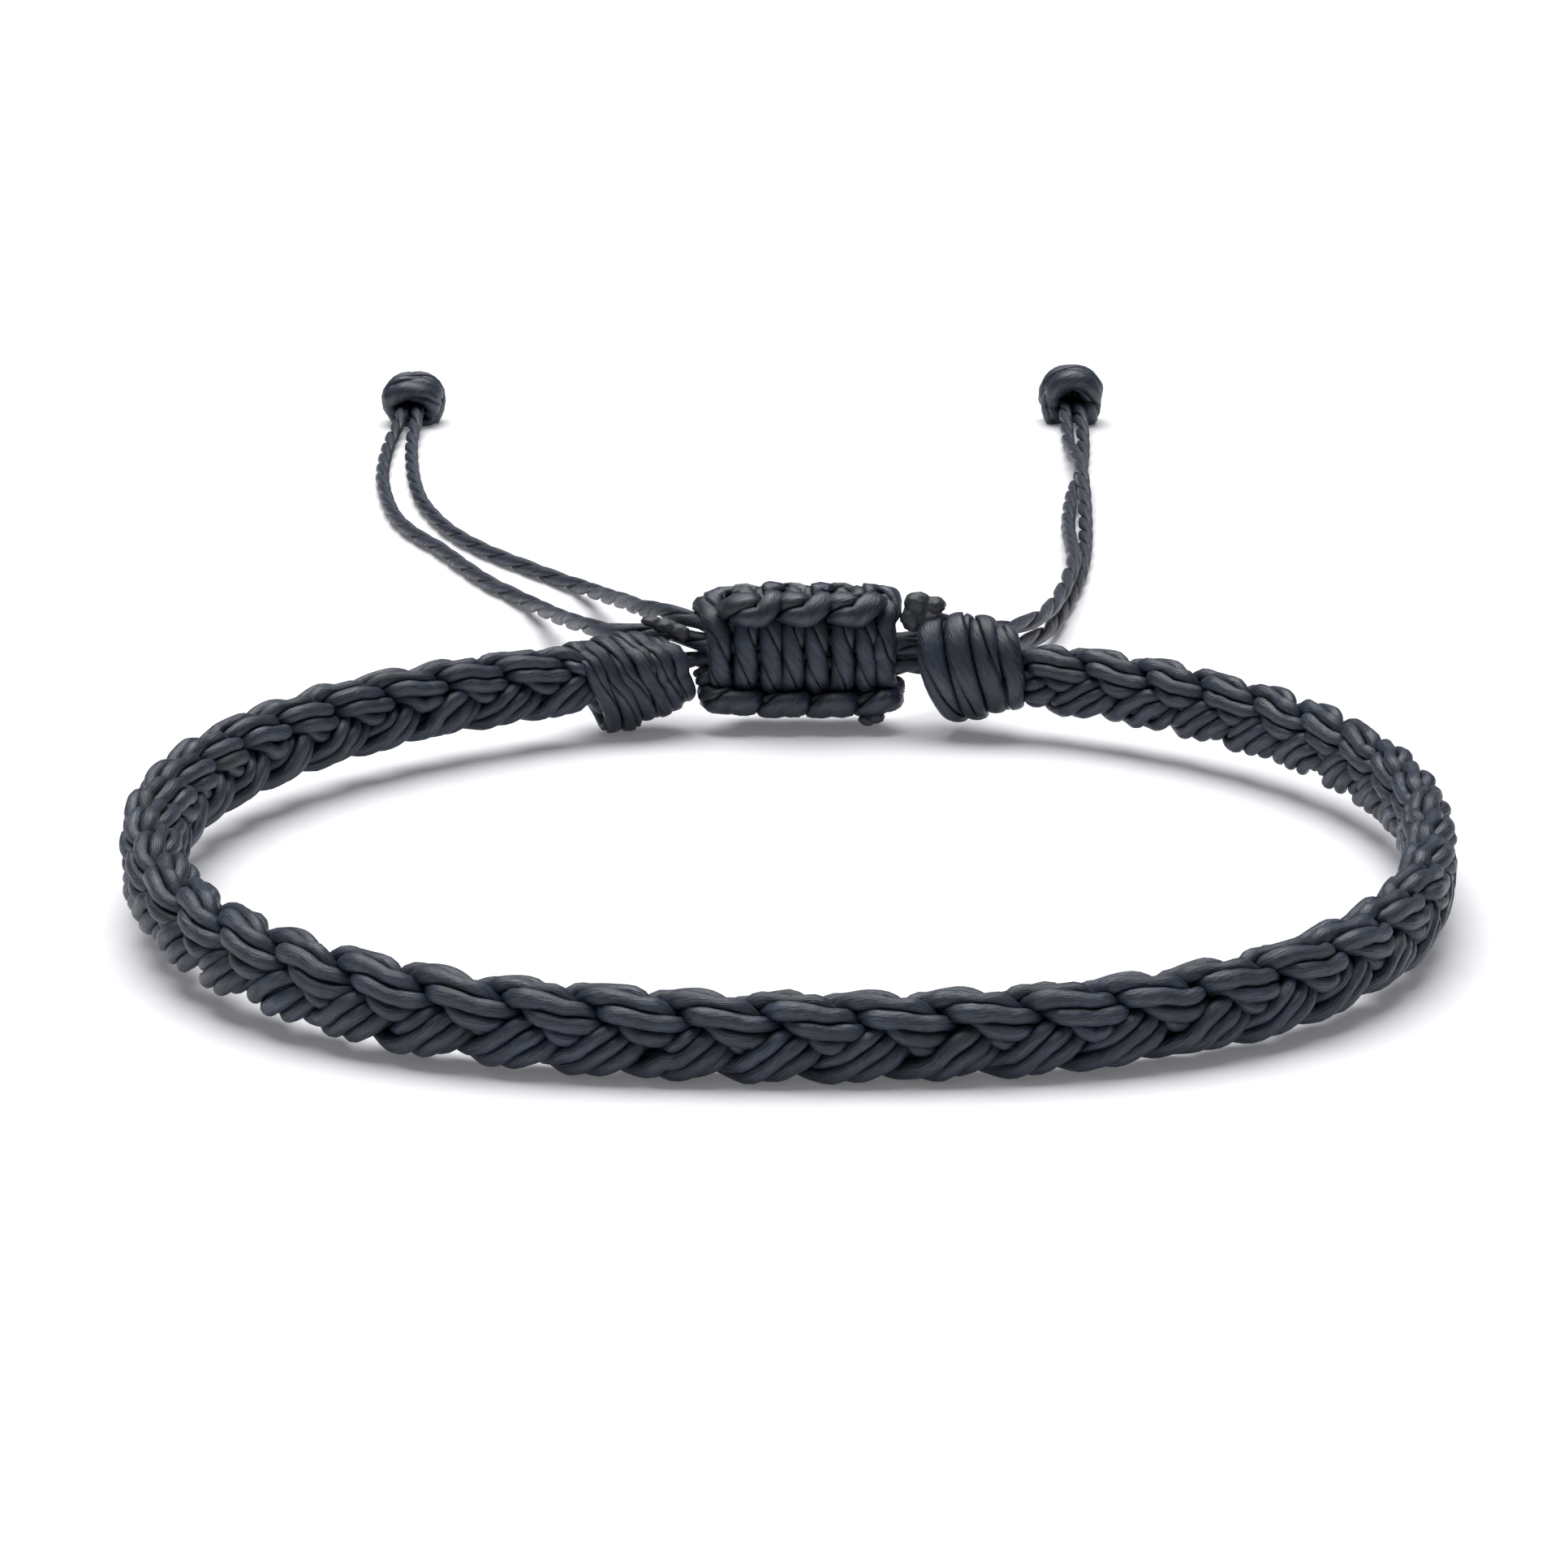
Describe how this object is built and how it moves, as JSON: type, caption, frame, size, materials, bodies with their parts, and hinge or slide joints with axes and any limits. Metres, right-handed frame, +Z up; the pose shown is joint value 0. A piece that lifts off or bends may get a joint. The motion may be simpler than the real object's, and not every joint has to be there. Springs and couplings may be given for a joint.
{
  "type": "friendship bracelet",
  "caption": "Adjustable plaited cord bracelet: a three-strand braid goes round the wrist between two stopper knots, a sliding knot of square knots holds four tails, tied in pairs",
  "frame": {"origin": "on the table, under the middle of the box that holds the loop and its knots, without the tails", "axes": "+X along the loop's width, to the wearer's right as it lies; +Y from the loop's front to its knots and tails; +Z up from the table"},
  "size_m": [0.0646, 0.1391, 0.008],
  "materials": {
    "plait_cord": "waxed twisted polyester cord, satin",
    "knot_cord": "waxed polyester cord pulled tight in knots, satin",
    "tail_cord": "waxed two-ply polyester cord, satin"
  },
  "bodies": {
    "root": {"plait_strand_1": "plait_cord", "plait_strand_2": "plait_cord", "plait_strand_3": "plait_cord", "left_stopper_knot": "knot_cord", "right_stopper_knot": "knot_cord", "sliding_knot": "knot_cord", "left_tail_upper_cord": "tail_cord", "left_tail_lower_cord": "tail_cord", "right_tail_upper_cord": "tail_cord", "right_tail_lower_cord": "tail_cord", "left_end_knot": "knot_cord", "right_end_knot": "knot_cord"}
  },
  "joints": []
}
